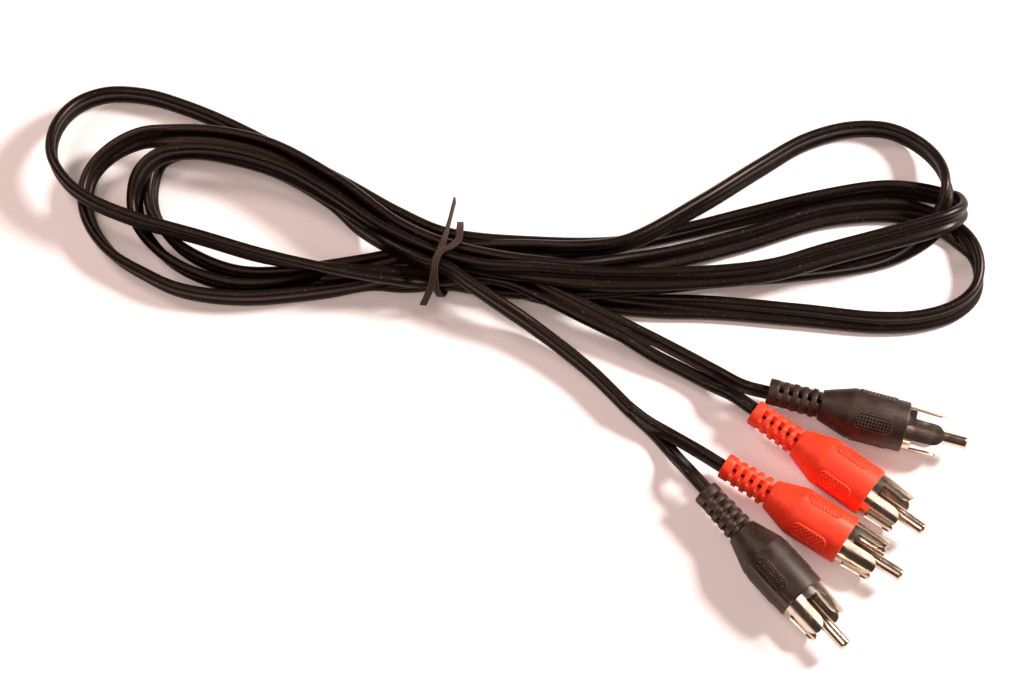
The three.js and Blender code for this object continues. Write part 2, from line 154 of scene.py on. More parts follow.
# Each row is [x, y, z, lean]: millimetres, and degrees from flat, 90 where the cord stands on its edge.
TWIN_ROUTE = [
    # out of the near split, climbing to the top of the bundle at the tie
    (-47.8, 26.5, 3.3, 90), (-57.6, 36.9, 3.4, 90), (-71.0, 47.5, 5.2, 90), (-79.6, 52.6, 8.2, 90),
    (-86.5, 57.0, 9.8, 90), (-92.7, 61.4, 9.9, 90), (-99.8, 63.7, 9.8, 90), (-107.3, 68.4, 8.1, 90),
    # innermost left loop
    (-115.4, 75.6, 3.8, 90), (-122.3, 82.6, 3.2, 90), (-135.5, 91.0, 3.2, 90), (-149.7, 96.1, 3.2, 90),
    (-160.3, 96.9, 3.2, 90), (-165.8, 94.2, 3.2, 86), (-167.8, 87.6, 3.2, 79), (-167.1, 80.2, 3.2, 76),
    (-162.7, 73.2, 3.2, 82), (-155.9, 67.6, 3.2, 90), (-144.4, 63.1, 3.2, 90), (-129.5, 62.9, 3.3, 102),
    (-118.3, 63.7, 4.0, 150), (-105.9, 66.0, 4.3, 172), (-92.9, 68.4, 5.4, 178),
    # highest right loop
    (-83.4, 67.9, 5.4, 170), (-72.2, 67.5, 6.8, 130), (-61.1, 66.9, 9.0, 100), (-48.7, 68.3, 9.8, 95),
    (-29.6, 79.8, 7.6, 104), (-13.9, 91.6, 4.3, 106), (-1.7, 99.6, 3.3, 100), (9.7, 103.1, 3.2, 94),
    (19.7, 102.7, 3.3, 90), (27.0, 97.7, 4.8, 90), (31.1, 90.6, 7.6, 85), (32.0, 83.5, 9.6, 70),
    (31.0, 78.2, 7.4, 50), (28.8, 74.6, 5.2, 42), (23.7, 70.4, 4.0, 60), (15.1, 66.4, 3.2, 85),
    (-5.0, 63.0, 3.2, 88), (-27.0, 61.6, 3.6, 66), (-41.3, 60.0, 4.9, 16), (-54.9, 58.8, 4.5, 4),
    (-72.2, 58.8, 4.0, 0), (-82.1, 59.5, 4.0, 0), (-92.9, 61.7, 2.8, 0),
    # second left loop
    (-100.8, 61.6, 2.2, 15), (-110.7, 60.5, 3.2, 88), (-124.3, 58.1, 3.2, 90), (-144.1, 56.4, 3.2, 90),
    (-159.1, 58.5, 3.2, 92), (-168.5, 63.0, 3.2, 96), (-176.6, 68.4, 3.2, 102), (-182.3, 76.0, 3.2, 106),
    (-184.4, 83.9, 3.2, 106), (-183.2, 90.0, 3.9, 105), (-178.3, 95.5, 5.2, 108), (-170.9, 98.6, 7.0, 122),
    (-163.1, 98.4, 8.8, 135), (-151.6, 97.8, 9.2, 140), (-137.6, 94.2, 9.4, 135), (-120.9, 84.4, 9.8, 125),
    (-104.4, 72.7, 10.0, 92), (-92.7, 67.3, 10.0, 90),
    # widest right loop
    (-82.1, 64.2, 10.6, 92), (-71.0, 62.5, 10.2, 95), (-59.9, 62.2, 8.4, 105), (-48.6, 64.2, 6.0, 125),
    (-37.3, 66.8, 4.2, 135), (-18.3, 72.4, 2.9, 140), (3.4, 79.4, 2.5, 143), (22.4, 80.5, 2.1, 155),
    (31.1, 77.2, 2.1, 172), (36.2, 72.7, 2.8, 135), (39.0, 68.4, 3.2, 100), (39.7, 63.7, 3.2, 86),
    (38.2, 57.9, 3.1, 72), (33.2, 53.3, 2.95, 62), (24.6, 50.5, 2.9, 60), (13.9, 49.9, 2.9, 58),
    (-5.5, 51.9, 2.8, 50), (-27.1, 54.0, 2.5, 40), (-41.9, 54.8, 1.8, 12), (-54.8, 56.3, 1.4, 3),
    (-68.5, 58.5, 1.4, 0), (-80.9, 62.8, 1.4, 0), (-92.9, 68.6, 2.4, 0),
    # third left loop
    (-100.9, 67.5, 1.8, 8), (-110.9, 65.0, 1.6, 12), (-120.8, 62.4, 2.2, 25), (-133.1, 60.0, 3.15, 76),
    (-144.2, 59.7, 3.2, 90), (-153.0, 61.8, 3.2, 92), (-161.1, 65.9, 3.2, 98), (-167.0, 71.4, 3.3, 108),
    (-170.4, 76.7, 4.0, 112), (-171.4, 82.4, 5.6, 108), (-169.9, 87.8, 8.6, 102), (-165.4, 92.3, 9.4, 97),
    (-157.6, 93.9, 9.5, 96), (-146.2, 92.4, 9.5, 106), (-133.5, 88.0, 9.6, 108), (-120.7, 80.2, 9.9, 100),
    (-109.9, 72.4, 10.5, 92), (-92.7, 64.2, 10.3, 90),
    # front right loop, with its tight end
    (-83.3, 61.3, 11.0, 95), (-72.3, 59.8, 11.4, 115), (-57.6, 58.4, 10.8, 135), (-42.8, 58.3, 10.3, 135),
    (-23.1, 59.5, 10.0, 128), (-11.6, 61.2, 10.0, 131),
    (0.7, 65.0, 10.0, 135), (16.8, 69.5, 10.2, 135), (25.6, 72.0, 10.4, 135),
    (32.0, 74.5, 10.0, 125), (35.9, 78.1, 7.6, 105), (35.5, 82.2, 4.6, 92), (32.9, 83.9, 3.2, 84),
    (26.5, 85.4, 3.1, 76), (16.4, 86.1, 3.1, 75), (1.1, 83.5, 3.1, 75), (-18.5, 78.4, 3.1, 76),
    (-34.5, 74.2, 3.2, 84), (-49.6, 71.1, 3.2, 90), (-70.9, 71.0, 3.2, 90), (-92.9, 73.1, 4.0, 90),
    # outermost left loop, which comes back over the other three
    (-104.8, 78.5, 4.2, 90), (-118.9, 87.3, 3.7, 90), (-133.1, 95.5, 3.2, 90), (-148.9, 104.2, 3.2, 90),
    (-159.5, 109.0, 3.2, 90), (-170.5, 112.4, 3.6, 90), (-180.6, 112.3, 4.6, 90), (-187.9, 108.3, 6.0, 90),
    (-192.1, 100.8, 8.0, 90), (-192.3, 92.6, 9.4, 90), (-188.1, 85.1, 10.0, 90), (-181.6, 79.8, 10.0, 90),
    (-171.0, 75.0, 10.0, 90), (-153.8, 69.7, 10.0, 90), (-137.6, 64.7, 9.8, 88), (-121.5, 61.8, 9.3, 62),
    (-107.5, 60.2, 8.7, 32), (-99.4, 60.5, 6.6, 10), (-92.8, 61.8, 5.5, 0),
    # flat out of the tie to the far split
    (-85.8, 62.3, 5.8, 0), (-76.7, 60.5, 6.7, 0), (-67.3, 55.8, 7.0, 0), (-57.5, 50.7, 6.4, 0),
    (-47.5, 46.0, 5.0, 0),
]


def smooth_line(points, step):
    """Points about step apart on a centripetal curve through points of (x, y, z, lean in degrees)."""
    knots = [Vector(p) for p in points]
    knots = [2 * knots[0] - knots[1], *knots, 2 * knots[-1] - knots[-2]]
    line = []
    for a, b, c, d in zip(knots, knots[1:], knots[2:], knots[3:]):
        gaps = [math.sqrt((q - p).xyz.length) for p, q in ((a, b), (b, c), (c, d))]
        at_b, at_c, at_d = gaps[0], gaps[0] + gaps[1], sum(gaps)
        count = max(2, math.ceil((c - b).xyz.length / step))
        for k in range(count):
            t = at_b + gaps[1] * k / count
            ab, bc, cd = a.lerp(b, t / at_b), b.lerp(c, k / count), c.lerp(d, (t - at_c) / gaps[2])
            abc, bcd = ab.lerp(bc, t / at_c), bc.lerp(cd, (t - at_b) / (at_d - at_b))
            line.append(abc.lerp(bcd, k / count))
    return [*line, knots[-2]]


def rightwards(ahead):
    """The level direction to the right of travel, for a cord that lies on the floor."""
    return Vector((ahead.y, -ahead.x, 0)).normalized()


def swept(name, section, line, side_of):
    """A closed solid of a section in millimetres along a line of (x, y, z, lean), sideways by side_of."""
    solid = bmesh.new()
    place = solid.verts.layers.int.new("place")
    straight = solid.verts.layers.float_vector.new("straight")
    rim = [solid.verts.new() for _ in section]
    for i, corner in enumerate(rim):
        corner[place] = i
    edges = [solid.edges.new((rim[i - 1], rim[i])) for i in range(len(rim))]
    along = 0
    for k, point in enumerate(line):
        if k:
            grown = bmesh.ops.extrude_edge_only(solid, edges=edges)["geom"]
            rim = [g for g in grown if isinstance(g, bmesh.types.BMVert)]
            edges = [g for g in grown if isinstance(g, bmesh.types.BMEdge)]
            along += (point - line[k - 1]).xyz.length
        ahead = (line[min(k + 1, len(line) - 1)] - line[max(k - 1, 0)]).xyz.normalized()
        flat = side_of(ahead)
        lean = math.radians(point.w)
        across = math.cos(lean) * flat + math.sin(lean) * flat.cross(ahead)
        up = across.cross(ahead)
        for corner in rim:
            w, n = section[corner[place]]
            corner.co = (point.xyz + across * w + up * n) * MM
            corner[straight] = (along, w, n)
    bmesh.ops.holes_fill(solid, edges=solid.edges, sides=0)
    bmesh.ops.recalc_face_normals(solid, faces=solid.faces)
    return finished(name, solid)


def finished(name, solid, sharp=math.radians(40)):
    """The solid as an object whose faces are smooth but for edges that turn by more than sharp."""
    for face in solid.faces:
        face.smooth = True
    mesh = bpy.data.meshes.new(name)
    solid.to_mesh(mesh)
    solid.free()
    mesh.set_sharp_from_angle(angle=sharp)
    made = bpy.data.objects.new(name, mesh)
    bpy.context.collection.objects.link(made)
    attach(made, "root")
    return made


def ring(radius, count, centre=0, reach=math.pi):
    """Points of (sideways, up) round a strand, over an arc of reach to each side of the outward way."""
    turns = [reach * (2 * i / (count - 1) - 1) for i in range(count)]
    outward = -1 if centre < 0 else 1
    return [(centre + outward * radius * math.cos(a), outward * radius * math.sin(a)) for a in turns]


# Extruded flexible vinyl: brown-black and half glossy, so that a warm line of light runs along each
# strand, with faint draw lines from the die, softer patches from handling and a few specks of dust.
DRAW_LINE = 0.12
PATCH = 14.0
DUST = 0.35
cord_vinyl = bpy.data.materials.new("extruded_flexible_vinyl")
cord_vinyl.use_nodes = True
tree = cord_vinyl.node_tree
bare = tree.nodes["Principled BSDF"]
unrolled = add_node(tree, "Attribute", attribute_name="straight").outputs["Vector"]
drawn = add_node(tree, "VectorMath", [(0, unrolled), (1, (0.02, 1, 1))], operation="MULTIPLY").outputs[0]
lines = add_node(tree, "TexNoise", [("Vector", drawn), ("Scale", 1 / DRAW_LINE), ("Detail", 2.0)])
patches = add_node(tree, "TexNoise", [("Vector", unrolled), ("Scale", 1 / PATCH), ("Detail", 3.0)])
dust = add_node(tree, "TexNoise", [("Vector", unrolled), ("Scale", 1 / DUST), ("Detail", 1.0)])
specks = add_node(tree, "MapRange", [("Value", dust.outputs["Fac"]), ("From Min", 0.735),
                                     ("From Max", 0.76)])
# A colour mix has its two colours and its result at these places among the node's sockets.
MIX_A, MIX_B, MIX_RESULT = 6, 7, 2
body = add_node(tree, "Mix", [(0, patches.outputs["Fac"]), (MIX_A, colour("090504")),
                              (MIX_B, colour("140c09"))], data_type="RGBA")
dusty = add_node(tree, "Mix", [(0, specks.outputs[0]), (MIX_A, body.outputs[MIX_RESULT]),
                               (MIX_B, colour("77685f"))], data_type="RGBA")
rough = add_node(tree, "MapRange", [("Value", patches.outputs["Fac"]), ("To Min", 0.32), ("To Max", 0.44)])
relief = add_node(tree, "Bump", [("Strength", 0.12), ("Distance", 0.01 * MM),
                                 ("Height", lines.outputs["Fac"])])
for socket, source in (("Base Color", dusty.outputs[MIX_RESULT]), ("Roughness", rough.outputs[0]),
                       ("Normal", relief.outputs[0])):
    tree.links.new(source, bare.inputs[socket])
bare.inputs["IOR"].default_value = 1.53
bare.inputs["Specular IOR Level"].default_value = 0.26
bare.inputs["Specular Tint"].default_value = colour("ffdccb")

lobe = ring(STRAND_RADIUS, LOBE_POINTS, STRAND_PITCH / 2, LOBE_REACH)
other_lobe = ring(STRAND_RADIUS, LOBE_POINTS, -STRAND_PITCH / 2, LOBE_REACH)
twin_section = [*lobe, (0, WEB_HALF), *other_lobe, (0, -WEB_HALF)]
twin_line = smooth_line(TWIN_ROUTE, CORD_STEP)
twin_cord = swept("flat_twin_cord", twin_section, twin_line, rightwards)
twin_cord.data.materials.append(cord_vinyl)
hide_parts("twin_cord")

# Twist tie: a soft wire in a flat vinyl strip, with three fine ridges along it. It goes once round the
# bundle, crosses itself on top and ends in two bent tails.
TIE_HALF_WIDTH = 0.85
TIE_HALF_THICKNESS = 0.2
TIE_RIDGE = 0.35
TIE_RIDGES = 3
TIE_COLUMNS = 12
TIE_STEP = 0.5
TIE_ROUTE = [
    (-91.0, 81.4, 7.0, 85), (-91.6, 76.4, 10.8, 85), (-92.3, 71.4, 13.9, 78), (-93.3, 67.0, 14.9, 45),
    (-94.5, 63.6, 14.8, 0), (-95.4, 61.0, 14.4, 0), (-95.6, 58.9, 12.8, 0), (-95.4, 57.3, 9.0, 0),
    (-94.9, 57.1, 4.8, 0), (-94.2, 57.8, 1.4, 0), (-93.2, 60.4, 0.38, 0), (-92.0, 67.0, 0.38, 0),
    (-90.4, 73.8, 0.42, 0), (-89.9, 75.4, 1.9, 0), (-89.6, 75.5, 6.0, 0), (-89.5, 73.7, 9.2, 0),
    (-89.5, 69.9, 13.0, 0), (-90.0, 66.6, 14.9, 0), (-91.5, 64.8, 15.7, 0), (-93.8, 63.5, 16.1, 0),
    (-95.2, 61.4, 15.9, 0), (-95.8, 58.2, 14.2, 0), (-96.6, 55.9, 10.8, 6), (-97.6, 54.8, 7.6, 12),
    (-98.6, 54.0, 4.6, 10),
]


def bundlewards(ahead):
    """The direction along the bundle, square to the strip's own way round it."""
    along = Vector((1, 0, 0))
    return (along - ahead * along.dot(ahead)).normalized()


# Dull vinyl strip: browner and more matt than the cord, with almost no gloss and a fine tooth.
TIE_TOOTH = 0.3
tie_vinyl = bpy.data.materials.new("dull_vinyl_strip")
tie_vinyl.use_nodes = True
tree = tie_vinyl.node_tree
bare = tree.nodes["Principled BSDF"]
place = add_node(tree, "TexCoord").outputs["Object"]
tooth = add_node(tree, "TexNoise", [("Vector", place), ("Scale", 1 / (TIE_TOOTH * MM)), ("Detail", 2.0)])
body = add_node(tree, "Mix", [(0, tooth.outputs["Fac"]), (MIX_A, colour("20140e")),
                              (MIX_B, colour("46332a"))], data_type="RGBA")
relief = add_node(tree, "Bump", [("Strength", 0.4), ("Distance", 0.04 * MM),
                                 ("Height", tooth.outputs["Fac"])])
tree.links.new(body.outputs[MIX_RESULT], bare.inputs["Base Color"])
tree.links.new(relief.outputs[0], bare.inputs["Normal"])
bare.inputs["Roughness"].default_value = 0.62
bare.inputs["Specular IOR Level"].default_value = 0.2

top = []
for i in range(TIE_COLUMNS + 1):
    rise = math.sin(TIE_RIDGES * math.pi * i / TIE_COLUMNS) ** 2
    top.append((TIE_HALF_WIDTH * (1 - 2 * i / TIE_COLUMNS),
                TIE_HALF_THICKNESS + (TIE_RIDGE - TIE_HALF_THICKNESS) * rise))
strip = [*top, *[(w, -n) for w, n in reversed(top)]]
tie = swept("wire_twist_tie", strip, smooth_line(TIE_ROUTE, TIE_STEP), bundlewards)
tie.data.materials.append(tie_vinyl)
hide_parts("twist_tie")

# The plugs: each hood's rear end lies at rear, and heading is the way the plug points over the floor.
# Pads and slots say how far the grip pads and the shell's slots are rolled to the left, in degrees,
# and faces names the two kinds of pad. End and side say which wire of the twin cord leads to the plug,
# and strand holds its points from the split to the hood.
HOOD_LENGTH = 33.98
HOOD_RADIUS = 6.15
PAD_RAISE = 0.25
PAD_EDGE_FROM_BELOW = math.radians(12.5)
AXIS_HEIGHT = (HOOD_RADIUS + PAD_RAISE) * math.cos(PAD_EDGE_FROM_BELOW)
NECK_LENGTH = 12.88
POCKET_FLOOR = 30.78
POCKET_GAP = 0.3
STRAIGHT_OUT = 6
PLUGS = {
    "near_black": dict(rear=(-30.7, 5.0), heading=-50, pads=-34, slots=4, faces=("dashes", "dots"), end=0,
                       side=-1, strand=[(-47.5, 26.2, 1.4), (-42.6, 21.4, 1.5), (-37.8, 15.0, 2.6)]),
    "near_red": dict(rear=(-25.9, 11.6), heading=-34, pads=32, slots=2, faces=("bars", "knurl"), end=0,
                     side=1, strand=[(-47.5, 26.2, 5.2), (-43.6, 23.6, 4.3), (-38.4, 20.6, 3.8)]),
    "far_red": dict(rear=(-18.2, 25.2), heading=-37.5, pads=34, slots=2, faces=("bars", "knurl"), end=-1,
                    side=1, strand=[(-48.0, 44.1, 5.0), (-42.3, 40.5, 3.8), (-35.0, 36.8, 3.0),
                                    (-27.8, 32.5, 3.6)]),
    "far_black": dict(rear=(-14.6, 30.6), heading=-16, pads=-33, slots=23, faces=("dots", "bars"), end=-1,
                      side=-1, strand=[(-46.4, 47.5, 5.0), (-41.6, 45.3, 4.2), (-35.0, 41.8, 3.7),
                                       (-27.0, 37.0, 4.1)]),
}


def seat(plug, roll=0):
    """Takes a plug's own millimetres, X along it from the hood's rear end, to its place on the floor."""
    heading = Matrix.Rotation(math.radians(plug["heading"]), 4, "Z")
    turned_left = Matrix.Rotation(math.radians(-roll), 4, "X")
    stand = Matrix.Translation((*plug["rear"], AXIS_HEIGHT))
    return Matrix.Scale(MM, 4) @ stand @ heading @ turned_left


def seated(name, solid, plug, finish, roll=0):
    """A plug's solid as a finished object at its place, with its material."""
    bmesh.ops.transform(solid, matrix=seat(plug, roll), verts=solid.verts)
    made = finished(name, solid)
    made.data.materials.append(finish)
    return made


MERGE_WITHIN = 0.001


def turned(outline, steps=96, closed=False):
    """A round solid from an outline of (along, radius, size of the rounded corner) about the X axis."""
    solid = bmesh.new()
    corners = [solid.verts.new((along, 0, radius)) for along, radius, _ in outline]
    for a, b in zip(corners, corners[1:]):
        solid.edges.new((a, b))
    if closed:
        solid.edges.new((corners[-1], corners[0]))
    for corner, (_, _, rounded) in zip(corners, outline):
        if rounded:
            bmesh.ops.bevel(solid, geom=[corner], offset=rounded, offset_type="OFFSET", segments=4,
                            profile=0.5, affect="VERTICES", material=-1)
    bmesh.ops.spin(solid, geom=[*solid.verts, *solid.edges], cent=(0, 0, 0), axis=(1, 0, 0),
                   angle=2 * math.pi, steps=steps, use_merge=True)
    bmesh.ops.remove_doubles(solid, verts=solid.verts, dist=MERGE_WITHIN)
    bmesh.ops.recalc_face_normals(solid, faces=solid.faces)
    return solid


def joined(solids):
    """Several closed solids as one."""
    whole = bmesh.new()
    for solid in solids:
        mesh = bpy.data.meshes.new("joining")
        solid.to_mesh(mesh)
        solid.free()
        whole.from_mesh(mesh)
        bpy.data.meshes.remove(mesh)
    return whole


# Strands: past each split in the web the two wires go on singly, into the open strain relief of their
# own plug and down the middle of the hood. The torn web stays along each as a thin fin, wider here than
# a true half of it, so that the pair nearly touch. Each starts a little way inside the twin cord, at
# two points on its line that take the place of the strand's own first point.
START_INSIDE = 0.985
TORN_WEB = 2.2
TORN_WEB_HALF = WEB_HALF / 2


def lobe_centre(station, side):
    """The middle of one wire of the twin cord, at a point of its line, in millimetres."""
    point = twin_line[station]
    ahead = (twin_line[station + 1] - twin_line[station - 1]).xyz.normalized()
    flat, lean = rightwards(ahead), math.radians(point.w)
    across = math.cos(lean) * flat + math.sin(lean) * flat.cross(ahead)
    return point.xyz + side * STRAND_PITCH / 2 * across


STRAND_POINTS = 24
round_part = ring(STRAND_RADIUS * START_INSIDE, STRAND_POINTS, 0, LOBE_REACH)
strand_section = [*round_part, (-TORN_WEB, TORN_WEB_HALF), (-TORN_WEB, -TORN_WEB_HALF)]
for name, plug in PLUGS.items():
    stations = (-STRAIGHT_OUT, 0, NECK_LENGTH, POCKET_FLOOR)
    inward = [seat(plug) @ Vector((along, 0, 0)) / MM for along in stations]
    outward = 1 if plug["end"] == 0 else -1
    inside = [lobe_centre(plug["end"] + outward * back, plug["side"]) for back in (2, 1)]
    turn = -outward * twin_line[plug["end"]].w
    leans = [turn, turn, turn / 2] + [0] * (len(plug["strand"]) + 2)
    points = [*inside, *plug["strand"][1:], *inward]
    line = smooth_line([(*point, lean) for point, lean in zip(points, leans)], CORD_STEP)
    path = [point.xyz * MM for point in line]
    section = [(-plug["side"] * outward * w, n) for w, n in strand_section]
    strand = swept(f"{name}_single_strand", section, line, rightwards)
    strand.data.materials.append(cord_vinyl)
    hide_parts(f"{name}_strand")
    plug["lead"], plug["path"] = strand, path

# Hoods: soft vinyl moulded over the contacts in one shot. The tail is a strain relief of a collar and
# four rings on four ribs, open between them onto the strand; then a cone and a barrel with four pads.
BORE_RADIUS = 1.2
BAND_RADII = [3.25, 3.4, 3.4, 3.55]
BAND_LENGTH = 1.22
BAND_ROUND = 0.16
COLLAR_LENGTH = 2.5
WINDOW_PITCH = 2.32
WINDOW_LENGTH = 1.1
RIB_RADIUS = 3.1
RIB_HALF_WIDTH = 0.75
RIB_SHORTER = 0.4
RIB_SHIFT = 0.1
SHOULDER_RADIUS = 3.7
CONE_LENGTH = 7.4
POCKET_RADIUS = 5.45
COLLAR_ROUND = 0.35
SHOULDER_ROUND = 0.3
CONE_ROUND = 0.35
BARREL_ROUND = 0.5
MOUTH_ROUND = 0.12
PAD_LENGTH = 9.4
PAD_WIDTH = 4.2
PAD_CORNER = 1.8
PAD_SETBACK = 8.0
PAD_CELL = 0.11
PAD_EDGE = 0.2
PAD_RIM = 0.35
PAD_RIM_SLOPE = 0.15
PAD_SINK = 0.26
PAD_FOOT = 0.1
PAD_ROOT = 0.4
BAR_PITCH = 0.92
KNURL_PITCH = 1.1
KNURL_SLANT = 0.75
DOT_PITCH = 0.76
DASH_PITCH = 0.7
DASH_STAGGER = 0.3
DASH_ROW = 1.15
DASH_HALF_WIDTH = 0.46


def smooth_rise(value, width):
    """From 0 to 1 as value goes from 0 to width, with soft ends."""
    t = min(max(value / width, 0), 1)
    return t * t * (3 - 2 * t)


def wave(value, pitch):
    """From 0 to 1 and back, once in each pitch."""
    return math.sin(math.pi * value / pitch) ** 2


# Height of each kind of pad's pattern, 0 to 1, at x along and s across it, in millimetres.
PAD_FACES = {
    "bars": lambda x, s: smooth_rise(wave(x, BAR_PITCH) - 0.2, 0.5),
    "knurl": lambda x, s: smooth_rise(wave(x + KNURL_SLANT * s, KNURL_PITCH)
                                      * wave(x - KNURL_SLANT * s, KNURL_PITCH), 0.5),
    "dots": lambda x, s: smooth_rise(wave(x, DOT_PITCH) * wave(s, DOT_PITCH) - 0.1, 0.4),
    "dashes": lambda x, s: (
        smooth_rise(wave(x + DASH_STAGGER * round(s / DASH_ROW), DASH_PITCH) - 0.3, 0.4)
        * smooth_rise(DASH_HALF_WIDTH - abs(s - DASH_ROW * round(s / DASH_ROW)), 0.15)),
}


def pad(face, roll):
    """A grip pad: a raised oblong with a rim and a pattern inside it, bent round the barrel."""
    solid = bmesh.new()
    half_long, half_wide = PAD_LENGTH / 2 + PAD_EDGE, PAD_WIDTH / 2 + PAD_EDGE
    bmesh.ops.create_grid(solid, x_segments=round(2 * half_long / PAD_CELL),
                          y_segments=round(2 * half_wide / PAD_CELL), size=1)
    outside = []
    for vert in solid.verts:
        x, s = vert.co.x * half_long, vert.co.y * half_wide
        dx = abs(x) - PAD_LENGTH / 2 + PAD_CORNER
        ds = abs(s) - PAD_WIDTH / 2 + PAD_CORNER
        inside = PAD_CORNER - math.hypot(max(dx, 0), max(ds, 0)) - min(max(dx, ds), 0)
        pattern = PAD_FACES[face](x, s) * smooth_rise(inside - PAD_RIM, PAD_RIM_SLOPE)
        sunk = PAD_SINK * smooth_rise(inside - PAD_RIM + PAD_RIM_SLOPE, PAD_RIM_SLOPE) * (1 - pattern)
        height = -PAD_FOOT + (PAD_RAISE + PAD_FOOT) * smooth_rise(inside, PAD_EDGE) - sunk
        if inside < 0:
            outside.append(vert)
        radius = HOOD_RADIUS + height
        vert.co = (HOOD_LENGTH - PAD_SETBACK + x, radius * math.sin(s / HOOD_RADIUS),
                   radius * math.cos(s / HOOD_RADIUS))
    bmesh.ops.delete(solid, geom=outside, context="VERTS")
    border = [edge for edge in solid.edges if edge.is_boundary]
    skirt = bmesh.ops.extrude_edge_only(solid, edges=border)["geom"]
    for vert in (g for g in skirt if isinstance(g, bmesh.types.BMVert)):
        vert.co.yz *= 1 - PAD_ROOT / HOOD_RADIUS
    bmesh.ops.holes_fill(solid, edges=[edge for edge in solid.edges if edge.is_boundary], sides=0)
    bmesh.ops.recalc_face_normals(solid, faces=solid.faces)
    bmesh.ops.rotate(solid, matrix=Matrix.Rotation(math.radians(-roll), 3, "X"), verts=solid.verts)
    return solid


def rib(roll):
    """One of the four ribs that carry the rings of the strain relief."""
    solid = bmesh.new()
    bmesh.ops.create_cube(solid, size=1)
    bmesh.ops.scale(solid, vec=(NECK_LENGTH - RIB_SHORTER, 2 * RIB_HALF_WIDTH, RIB_RADIUS - BORE_RADIUS),
                    verts=solid.verts)
    middle = (NECK_LENGTH / 2 + RIB_SHIFT, 0, (RIB_RADIUS + BORE_RADIUS) / 2)
    bmesh.ops.translate(solid, vec=middle, verts=solid.verts)
    bmesh.ops.bevel(solid, geom=solid.edges, offset=BAND_ROUND, segments=2, profile=0.5,
                    affect="EDGES", material=-1)
    bmesh.ops.rotate(solid, matrix=Matrix.Rotation(math.radians(-roll), 3, "X"), verts=solid.verts)
    return solid


def band(start, length, radius, rounded):
    """One ring of the strain relief, with its edges rounded off."""
    return turned([(start, BORE_RADIUS, 0), (start, radius, rounded), (start + length, radius, rounded),
                   (start + length, BORE_RADIUS, 0)], closed=True)


def hood(faces):
    """A whole hood: cone and barrel, collar and rings, ribs, and four pads of two kinds in turn."""
    cone_end = NECK_LENGTH + CONE_LENGTH
    shell = turned([
        (NECK_LENGTH, BORE_RADIUS, 0), (NECK_LENGTH, SHOULDER_RADIUS, SHOULDER_ROUND),
        (cone_end, HOOD_RADIUS, CONE_ROUND), (HOOD_LENGTH, HOOD_RADIUS, BARREL_ROUND),
        (HOOD_LENGTH, POCKET_RADIUS, MOUTH_ROUND), (POCKET_FLOOR, POCKET_RADIUS, 0),
        (POCKET_FLOOR, BORE_RADIUS, 0),
    ], closed=True)
    bands = [band(0, COLLAR_LENGTH, BAND_RADII[0], COLLAR_ROUND)]
    for i, radius in enumerate(BAND_RADII):
        start = COLLAR_LENGTH + WINDOW_LENGTH + i * WINDOW_PITCH
        bands.append(band(start, BAND_LENGTH, radius, BAND_ROUND))
    ribs = [rib(roll) for roll in (0, 90, 180, 270)]
    pads = [pad(faces[i % 2], 90 * i) for i in range(4)]
    return joined([shell, *bands, *ribs, *pads])


def moulded_vinyl(name, dark, light, pale_edge_colour, rough_low, rough_high):
    """Moulded flexible vinyl: satin, with a fine spark-eroded grain, and mixed towards a paler colour on
    its sharp outer edges.
    """
    grain_width, mottle_width = 0.4, 3.5
    made = bpy.data.materials.new(name)
    made.use_nodes = True
    tree = made.node_tree
    bare = tree.nodes["Principled BSDF"]
    place = add_node(tree, "TexCoord").outputs["Object"]
    grain = add_node(tree, "TexNoise", [("Vector", place), ("Scale", 1 / (grain_width * MM)),
                                        ("Detail", 3.0)])
    mottle = add_node(tree, "TexNoise", [("Vector", place), ("Scale", 1 / (mottle_width * MM)),
                                         ("Detail", 4.0)])
    mixed = add_node(tree, "Math", [(0, grain.outputs["Fac"]), (1, mottle.outputs["Fac"])],
                     operation="MULTIPLY")
    spread = add_node(tree, "MapRange", [("Value", mixed.outputs[0]), ("From Min", 0.12),
                                         ("From Max", 0.4)])
    body = add_node(tree, "Mix", [(0, spread.outputs[0]), (MIX_A, colour(dark)), (MIX_B, colour(light))],
                    data_type="RGBA")
    # Sharp outer edges, found by pointiness, are mixed towards the paler edge colour.
    edge = add_node(tree, "MapRange", [("Value", add_node(tree, "NewGeometry").outputs["Pointiness"]),
                                       ("From Min", 0.53), ("From Max", 0.62), ("To Max", 0.6)])
    pale_edged = add_node(tree, "Mix", [(0, edge.outputs[0]), (MIX_A, body.outputs[MIX_RESULT]),
                                    (MIX_B, colour(pale_edge_colour))], data_type="RGBA")
    rough = add_node(tree, "MapRange", [("Value", mottle.outputs["Fac"]), ("To Min", rough_low),
                                        ("To Max", rough_high)])
    relief = add_node(tree, "Bump", [("Strength", 0.6), ("Distance", 0.06 * MM),
                                     ("Height", grain.outputs["Fac"])])
    for socket, source in (("Base Color", pale_edged.outputs[MIX_RESULT]), ("Roughness", rough.outputs[0]),
                           ("Normal", relief.outputs[0])):
        tree.links.new(source, bare.inputs[socket])
    bare.inputs["IOR"].default_value = 1.53
    bare.inputs["Specular IOR Level"].default_value = 0.4
    bare.inputs["Specular Tint"].default_value = colour("ffe9df")
    return made


hood_vinyl = {
    "black": moulded_vinyl("moulded_black_vinyl", "160e0b", "3b2c25", "7a6152", 0.4, 0.56),
    "red": moulded_vinyl("moulded_red_vinyl", "ec3118", "ff421e", "ff7050", 0.46, 0.6),
}
for name, plug in PLUGS.items():
    tint = name.split("_")[1]
    plug["hood"] = seated(f"{name}_moulded_hood", hood(plug["faces"]), plug, hood_vinyl[tint],
                          plug["pads"])
    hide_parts(f"{name}_hood")

